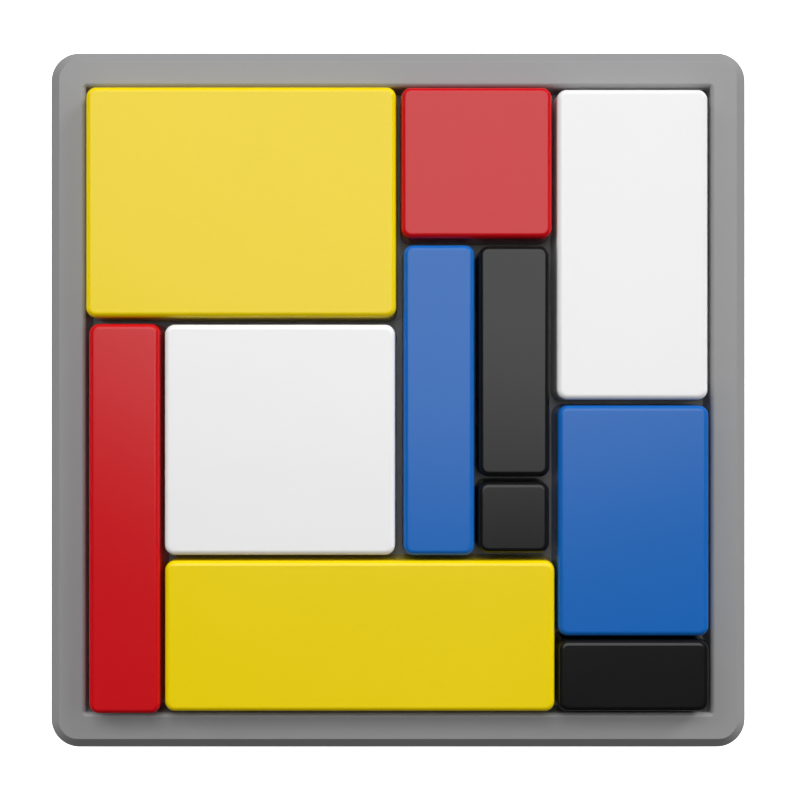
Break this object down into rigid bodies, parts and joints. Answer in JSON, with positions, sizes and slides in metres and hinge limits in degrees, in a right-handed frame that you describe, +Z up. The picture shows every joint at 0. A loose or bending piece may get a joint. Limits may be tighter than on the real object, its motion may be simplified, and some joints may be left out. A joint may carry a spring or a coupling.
{
  "type": "packing puzzle",
  "caption": "Square grey tray with a flat-floored well, filled edge to edge by loose rectangular coloured blocks that lift out to be packed back in.",
  "frame": {"origin": "on the surface that the four feet stand on, below the centre of the tray", "axes": "+Z up out of the well; +X to the right and +Y away, with the large yellow block of four by three cells at the back left"},
  "size_m": [0.142, 0.142, 0.02],
  "materials": {
    "tray_plastic": "fine satin texture, moulded grey",
    "cover_plastic": "fine matt texture, moulded grey",
    "screw_steel": "zinc plated",
    "foot_rubber": "matt",
    "yellow_plastic": "smooth semi-gloss",
    "red_plastic": "smooth semi-gloss",
    "blue_plastic": "smooth semi-gloss",
    "white_plastic": "smooth semi-gloss",
    "black_plastic": "smooth semi-gloss"
  },
  "bodies": {
    "tray": {"tray_body": "tray_plastic", "base_cover": "cover_plastic", "screw_back_left": "screw_steel", "screw_back_right": "screw_steel", "screw_front_left": "screw_steel", "screw_front_right": "screw_steel", "foot_back_left": "foot_rubber", "foot_back_right": "foot_rubber", "foot_front_left": "foot_rubber", "foot_front_right": "foot_rubber"},
    "yellow_4x3": {"yellow_4x3_shell": "yellow_plastic", "yellow_4x3_plate": "yellow_plastic"},
    "red_2x2": {"red_2x2_shell": "red_plastic", "red_2x2_plate": "red_plastic"},
    "white_2x4": {"white_2x4_shell": "white_plastic", "white_2x4_plate": "white_plastic"},
    "blue_1x4": {"blue_1x4_shell": "blue_plastic", "blue_1x4_plate": "blue_plastic"},
    "black_1x3": {"black_1x3_shell": "black_plastic", "black_1x3_plate": "black_plastic"},
    "black_1x1": {"black_1x1_shell": "black_plastic", "black_1x1_plate": "black_plastic"},
    "red_1x5": {"red_1x5_shell": "red_plastic", "red_1x5_plate": "red_plastic"},
    "white_3x3": {"white_3x3_shell": "white_plastic", "white_3x3_plate": "white_plastic"},
    "yellow_5x2": {"yellow_5x2_shell": "yellow_plastic", "yellow_5x2_plate": "yellow_plastic"},
    "blue_2x3": {"blue_2x3_shell": "blue_plastic", "blue_2x3_plate": "blue_plastic"},
    "black_2x1": {"black_2x1_shell": "black_plastic", "black_2x1_plate": "black_plastic"}
  },
  "joints": [
    {"name": "yellow_4x3_lift", "type": "slide", "parent": "tray", "child": "yellow_4x3", "axis": [0, 0, 1], "range_m": [0, 0.03]},
    {"name": "red_2x2_lift", "type": "slide", "parent": "tray", "child": "red_2x2", "axis": [0, 0, 1], "range_m": [0, 0.03]},
    {"name": "white_2x4_lift", "type": "slide", "parent": "tray", "child": "white_2x4", "axis": [0, 0, 1], "range_m": [0, 0.03]},
    {"name": "blue_1x4_lift", "type": "slide", "parent": "tray", "child": "blue_1x4", "axis": [0, 0, 1], "range_m": [0, 0.03]},
    {"name": "black_1x3_lift", "type": "slide", "parent": "tray", "child": "black_1x3", "axis": [0, 0, 1], "range_m": [0, 0.03]},
    {"name": "black_1x1_lift", "type": "slide", "parent": "tray", "child": "black_1x1", "axis": [0, 0, 1], "range_m": [0, 0.03]},
    {"name": "red_1x5_lift", "type": "slide", "parent": "tray", "child": "red_1x5", "axis": [0, 0, 1], "range_m": [0, 0.03]},
    {"name": "white_3x3_lift", "type": "slide", "parent": "tray", "child": "white_3x3", "axis": [0, 0, 1], "range_m": [0, 0.03]},
    {"name": "yellow_5x2_lift", "type": "slide", "parent": "tray", "child": "yellow_5x2", "axis": [0, 0, 1], "range_m": [0, 0.03]},
    {"name": "blue_2x3_lift", "type": "slide", "parent": "tray", "child": "blue_2x3", "axis": [0, 0, 1], "range_m": [0, 0.03]},
    {"name": "black_2x1_lift", "type": "slide", "parent": "tray", "child": "black_2x1", "axis": [0, 0, 1], "range_m": [0, 0.03]}
  ]
}
